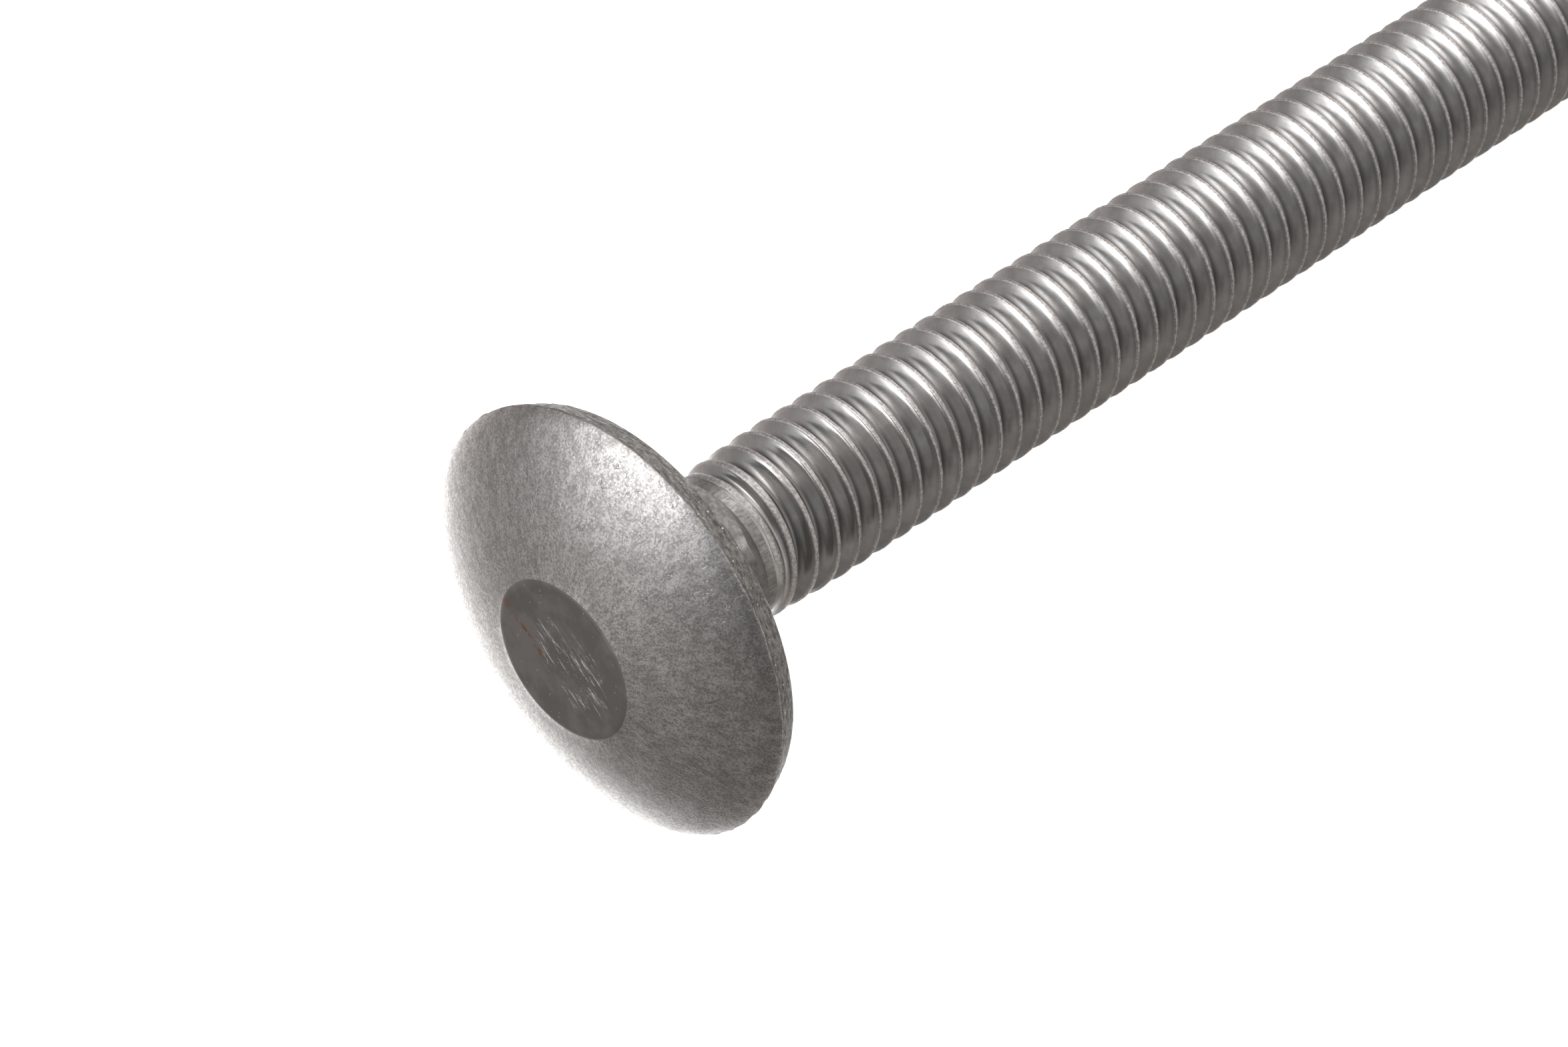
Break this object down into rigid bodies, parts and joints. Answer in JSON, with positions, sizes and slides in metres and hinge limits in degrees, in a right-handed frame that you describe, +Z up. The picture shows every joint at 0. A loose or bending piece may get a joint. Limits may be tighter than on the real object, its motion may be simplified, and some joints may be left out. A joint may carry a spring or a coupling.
{
  "type": "carriage bolt",
  "caption": "Steel carriage bolt with a low domed head, a square neck and a fully threaded shank, lying on its side.",
  "frame": {"origin": "on the surface that the bolt lies on, under the centre of its box", "axes": "+X along the bolt from its head to its tip, +Z up; the axis leans down 4.8 degrees towards the tip"},
  "size_m": [0.0634, 0.016, 0.0159],
  "materials": {
    "bare_steel": "bare grey steel, fine grained on the dome, smooth on the thread flanks, rough on the crests and the rim"
  },
  "bodies": {
    "root": {"carriage_bolt": "bare_steel"}
  },
  "joints": []
}
